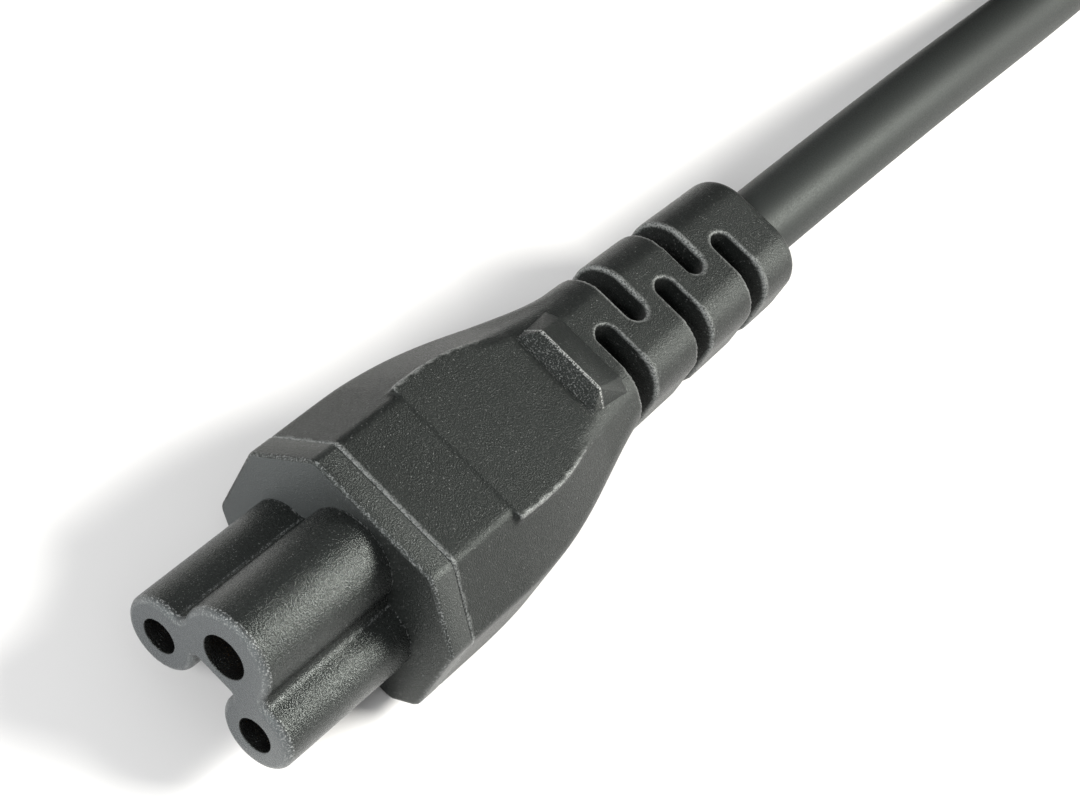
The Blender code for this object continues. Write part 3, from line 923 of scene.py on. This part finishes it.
def build_grip():
    bm = bmesh.new()
    for corner in (GRIP_FOOT, GRIP_CREST, GRIP_BACK, GRIP_BACK_FOOT):
        bm.verts.new(corner)
        bm.verts.new((-corner.x, corner.y, corner.z))
    for side in (-1, 1):
        for corner in (GRIP_FOOT, GRIP_BACK_FOOT):
            bm.verts.new((side * corner.x, corner.y, corner.z - GRIP_DEPTH))
    bmesh.ops.convex_hull(bm, input=bm.verts)
    bmesh.ops.dissolve_limit(bm, angle_limit=math.radians(1), verts=bm.verts, edges=bm.edges)
    bevel(bm, bm.edges[:], GRIP_EDGE, 3)
    wedge = to_object("thumb_grip", bm)
    smoothed(wedge)
    return use(wedge, body_finish, "body_pvc", "body")


def slot_bmesh(y, side, width, past_middle, reach, low, high):
    """An upright bar with one round end, which a slot takes away."""
    bm = bmesh.new()
    radius = width / 2
    middle = side * (radius - past_middle)
    start = bm.verts.new((middle, y - side * radius, low))
    made = bmesh.ops.spin(bm, geom=[start], cent=(middle, y, low), axis=(0, 0, -1), angle=math.pi, steps=16)
    end = last_vert(made)
    far = [bm.verts.new((side * reach, vert.co.y, low)) for vert in (end, start)]
    for pair in ((end, far[0]), far, (far[1], start)):
        bm.edges.new(pair)
    face = bmesh.ops.contextual_create(bm, geom=bm.edges[:])["faces"]
    extrude(bm, face, (0, 0, high - low))
    return bm


def slots_tool(name, places, width, past_middle, core_diameter, core_height):
    """Slots from the right and the left in turn as one object, without the core that they leave standing."""
    sides = [1 if index % 2 == 0 else -1 for index in range(len(places))]
    tool = joined(name, [slot_bmesh(y, side, width, past_middle, BODY_WIDTH, -MM, BODY_HEIGHT + MM)
                         for y, side in zip(places, sides)])
    radius = core_diameter / 2
    core = spun([(0, 0), (radius, 0), (radius, BODY_LENGTH), (0, BODY_LENGTH)], 0.0, core_height)
    bmesh.ops.translate(core, verts=core.verts, vec=(0, min(places) - BODY_LENGTH / 4, 0))
    core_tool = to_object("core", core)
    boolean(tool, core_tool, "DIFFERENCE")
    applied(tool)
    discard(core_tool)
    return tool


def finish_grip():
    """Gives the wedge's face the coarse grain of its mould as a bump, with painted glints, and paints a
    highlight of brighter grains along the crest.
    """
    finish = body_finish
    x, y, z = finish.axes(finish.place())
    on_face = finish.band(y, GRIP_FOOT.y - GRIP_BLUR / 2, GRIP_CREST.y + GRIP_BLUR, GRIP_BLUR)
    on_face = on_face * (z > GRIP_FOOT.z - GRIP_BLUR) * finish.band(x, -GRIP_FOOT.x, GRIP_FOOT.x, GRIP_BLUR)
    glitter = finish.noise(finish.place(), GLITTER, 2.0, 0.7)
    crest = finish.near(y, GRIP_CREST.y, CREST_BAND)
    # Painted glints on the face, and a painted highlight of brighter grains along the crest.
    light = finish.step(glitter, 0.54, 0.66) * 0.45 + crest * finish.step(glitter, 0.44, 0.54) * 1.2
    finish.feed("Base Color", finish.mix(on_face * light, finish.fed("Base Color"), GRIP_GLINT_COLOUR))
    finish.feed("Normal", finish.bump(on_face * glitter, GLITTER_DEPTH, finish.fed("Normal")))


finish_grip()
build_grip()
FIRST_SLOT = BODY_END - LAST_SLOT_FROM_END - SLOT_PITCH * (SLOT_COUNT - 1)
slot_places = [FIRST_SLOT + SLOT_PITCH * index for index in range(SLOT_COUNT)]
slots = slots_tool("slots", slot_places, SLOT_WIDTH, SLOT_PAST_MIDDLE, CORE_DIAMETER, CORE_HEIGHT)
print("slots tool:", len(slots.data.polygons), "faces")

# %% [markdown]
# The body is lofted through its sections, gets the panel and loses the slots. Its edges would then be
# knife sharp. A voxel remesh at about a fifth of a millimetre, smoothed a little, gives every edge the
# small radius that soft PVC has, and mark_edges then finds the outer edges, which are painted lighter,
# partly for wear and partly as a painted highlight along them.

# %% Body
RING_STEP = 0.5 * MM
END_RADIUS = 1.2 * MM
END_STEPS = 6
PANEL_STEPS = 24
VOXEL = 0.21 * MM
EDGE_LOW = 0.011 * MM
EDGE_HIGH = 0.023 * MM


def soften(made, voxel):
    """Rounds all the edges of a piece a little, and marks them."""
    remesh = made.modifiers.new("voxels", "REMESH")
    remesh.mode = "VOXEL"
    remesh.voxel_size = voxel
    remesh.use_smooth_shade = True
    smooth = made.modifiers.new("smooth", "SMOOTH")
    smooth.factor = 0.5
    smooth.iterations = 2
    applied(made)
    mark_edges(made, EDGE_LOW, EDGE_HIGH)


def panel_tool():
    """The wider panel on the top."""
    places = [mix(CREASE_PLACE, PANEL_END, step / PANEL_STEPS) for step in range(PANEL_STEPS + 1)]
    loops = [(body_section(place, panel=True), BODY_FRONT + place) for place in places]
    return to_object("panel", loft(loops))


def body_loops():
    """The body's sections from its front to its rounded end."""
    loops = [(body_section(0.0, SEAM_EDGE), BODY_FRONT)]
    place = SEAM_EDGE
    while place < BODY_LENGTH - END_RADIUS - RING_STEP / 2:
        loops.append((body_section(place), BODY_FRONT + place))
        place += RING_STEP
    for angle in quarter(END_STEPS):
        place = BODY_LENGTH - END_RADIUS * (1 - math.sin(angle))
        loops.append((body_section(place, END_RADIUS * (1 - math.cos(angle))), BODY_FRONT + place))
    return loops


def build_body():
    panel = panel_tool()
    body = to_object("connector_body", loft(body_loops()))
    boolean(body, panel, "UNION")
    boolean(body, slots, "DIFFERENCE")
    soften(body, VOXEL)
    discard(panel, slots)
    return use(body, body_finish, "body_pvc", "body")


build_body()

# %% [markdown]
# The plug is made like the connector: lofted through rounded rectangles, from a square front to a round
# tail, with grooves in its sides for the fingers and slots in its tail. It is drawn round the middle and
# then moved to its place. Its blades are flat strips with round corners and a hole, and its earth pin is
# turned with a domed tip.

# %% Plug
plug_low, plug_high = corners_of("plug_body")
PLUG_MIDDLE = (plug_low + plug_high) / 2
PLUG_SIZE = plug_high - plug_low
PLUG_FRONT = ((1.2, 2.6, 0.0), (0.4, 3.0, 0.25), (0.0, 3.0, 0.8))
PLUG_CORNER = 3.0 * MM
PLUG_SHOULDER = 16.0 * MM
PLUG_TAPER_END = 35.5 * MM
PLUG_TAPER_STEPS = 14
PLUG_TAIL = 12.0 * MM
PLUG_TAIL_CORNER = 5.2 * MM
PLUG_ENDS = ((9.6, 4.5, -1.0), (8.0, 3.8, 0.0))
PLUG_VOXEL = 0.3 * MM
GROOVE_PLACES = (19.5, 22.5, 25.5, 28.5)
GROOVE_WIDTH = 1.5 * MM
GROOVE_DEPTH = 0.9 * MM
GROOVE_REACH = 16.0 * MM
GROOVE_HALF_HEIGHT = 6.5 * MM
GROOVE_START_HALF = 13.0 * MM
GROOVE_TAPER = 0.34
PLUG_SLOT_PLACES = (39.5, 43.0, 46.5, 50.0, 53.5)
PLUG_SLOT_WIDTH = 1.7 * MM
PLUG_SLOT_PAST_MIDDLE = 0.8 * MM
PLUG_CORE = 6.8 * MM
BLADE_CORNER = 1.4 * MM
BLADE_HOLE = 3.0 * MM
BLADE_HOLE_PLACE = 5.0 * MM
BLADE_EDGE = 0.25 * MM


def plug_section(width, height, rounding):
    """A rounded rectangle round the plug's axis, as wide and high as given."""
    sides = ((1, -1), (1, 1), (-1, 1), (-1, -1))
    return rounded([(width * x / 2, PLUG_MIDDLE.z + height * z / 2) for x, z in sides], rounding)


def plug_loops():
    """The plug's sections. PLUG_FRONT and PLUG_ENDS give sizes, roundings and places in millimetres."""
    wide, end, tall = PLUG_SIZE
    loops = [(plug_section(wide - less * MM, tall - less * MM, rounding * MM), place * MM)
             for less, rounding, place in PLUG_FRONT]
    for step in range(PLUG_TAPER_STEPS + 1):
        share = smooth_step(step / PLUG_TAPER_STEPS)
        place = mix(PLUG_SHOULDER, PLUG_TAPER_END, step / PLUG_TAPER_STEPS)
        rounding = mix(PLUG_CORNER, PLUG_TAIL_CORNER, share)
        loops.append((plug_section(mix(wide, PLUG_TAIL, share), mix(tall, PLUG_TAIL, share), rounding), place))
    for size, rounding, before in PLUG_ENDS:
        loops.append((plug_section(size * MM, size * MM, rounding * MM), end + before * MM))
    return [(points, plug_low.y + place) for points, place in loops]


def groove_bmesh(place, side):
    """One finger groove. The grooves follow the plug's taper."""
    half = GROOVE_START_HALF - GROOVE_TAPER * (place - GROOVE_PLACES[0]) * MM
    return slot_bmesh(plug_low.y + place * MM, side, GROOVE_WIDTH, GROOVE_DEPTH - half, GROOVE_REACH,
                      PLUG_MIDDLE.z - GROOVE_HALF_HEIGHT, PLUG_MIDDLE.z + GROOVE_HALF_HEIGHT)


def build_plug():
    plug = to_object("plug_moulding", loft(plug_loops()))
    grooves = joined("grooves", [groove_bmesh(place, side) for side in (-1, 1) for place in GROOVE_PLACES])
    places = [plug_low.y + place * MM for place in PLUG_SLOT_PLACES]
    slots = slots_tool("plug_slots", places, PLUG_SLOT_WIDTH, PLUG_SLOT_PAST_MIDDLE, PLUG_CORE, PLUG_MIDDLE.z)
    boolean(plug, grooves, "DIFFERENCE")
    boolean(plug, slots, "DIFFERENCE")
    soften(plug, PLUG_VOXEL)
    plug.data.transform(Matrix.Translation((PLUG_MIDDLE.x, 0, 0)))
    discard(grooves, slots)
    return use(plug, body_finish, "body_pvc", "plug_body")


def build_blade(node):
    low, high = corners_of(node)
    corners = ((high.y, low.z), (high.y, high.z), (low.y, high.z), (low.y, low.z))
    bm = bmesh.new()
    face = bm.faces.new([bm.verts.new((low.x, point.x, point.z)) for point in rounded(corners, BLADE_CORNER)])
    extrude(bm, [face], (high.x - low.x, 0, 0))
    rim = [edge for edge in bm.edges if abs(edge.verts[0].co.x - edge.verts[1].co.x) < TINY]
    bevel(bm, rim, BLADE_EDGE, 3)
    blade = to_object(node + "_strip", bm)
    hole = bmesh.new()
    bmesh.ops.create_cone(hole, cap_ends=True, segments=32, radius1=BLADE_HOLE / 2, radius2=BLADE_HOLE / 2,
                          depth=4 * MM, matrix=Matrix.Rotation(math.pi / 2, 4, "Y"))
    middle = (low + high) / 2
    bmesh.ops.translate(hole, verts=hole.verts, vec=(middle.x, low.y + BLADE_HOLE_PLACE, middle.z))
    hole_tool = to_object("blade_hole", hole)
    boolean(blade, hole_tool, "DIFFERENCE")
    applied(blade)
    discard(hole_tool)
    smoothed(blade)
    return use(blade, blade_finish, "blade_metal", node)


def build_pin(node):
    low, high = corners_of(node)
    middle = (low + high) / 2
    radius = (high.z - low.z) / 2
    dome = [
        (radius * math.sin(angle), low.y + radius * (1 - math.cos(angle)))
        for angle in quarter(8)
    ]
    pin = to_object("plug_round_pin", spun(dome + [(radius, high.y), (0, high.y)], middle.x, middle.z))
    smoothed(pin)
    return use(pin, blade_finish, "blade_metal", node)


plug_pieces = [build_plug(), build_blade("plug_line_blade"), build_blade("plug_neutral_blade"),
               build_pin("plug_earth_pin")]

# %% [markdown]
# The cord now has a piece at each end: the strain relief, and the plug at its far end.

print("cord and plug made")

# %% [markdown]
# The floor and the light are plain: a pale floor, a dim white surrounding, a soft and slightly warm
# light behind to the right, which lights the edges on that side, and a weaker one in front.

# %% Floor and light
FLOOR_SIZE = 3.0
FLOOR_DROP = 0.05 * MM
WORLD_STRENGTH = 0.42
WARM_WHITE = (1.0, 0.98, 0.93)


def add_floor():
    bm = bmesh.new()
    bmesh.ops.create_grid(bm, x_segments=1, y_segments=1, size=FLOOR_SIZE / 2)
    floor = to_object("floor", bm)
    paper = Finish("pale_floor", Roughness=0.9)
    paper.feed("Base Color", grey(0.74))
    floor.data.materials.append(paper.material)
    floor.location.z = -FLOOR_DROP
    return floor


def add_light(name, place, size, power, colour=(1.0, 1.0, 1.0)):
    """A rectangular lamp that faces the origin."""
    data = bpy.data.lights.new(name, "AREA")
    data.shape = "RECTANGLE"
    data.size, data.size_y = size
    data.energy = power
    data.color = colour
    light = bpy.data.objects.new(name, data)
    light.location = place
    light.rotation_euler = (-Vector(place)).to_track_quat("-Z", "Y").to_euler()
    bpy.context.scene.collection.objects.link(light)
    return light


def add_world(strength):
    world = bpy.data.worlds.new("studio")
    world.use_nodes = True
    background = world.node_tree.nodes["Background"]
    background.inputs["Color"].default_value = (1.0, 1.0, 1.0, 1.0)
    background.inputs["Strength"].default_value = strength
    bpy.context.scene.world = world


add_floor()
add_world(WORLD_STRENGTH)
add_light("behind", place=(0.30, 0.38, 0.38), size=(0.26, 0.18), power=8.0, colour=WARM_WHITE)
add_light("front", place=(-0.08, -0.46, 0.36), size=(0.28, 0.16), power=3.2)
bpy.context.scene.view_settings.view_transform = "Standard"

# %% Finish
bpy.context.view_layer.update()
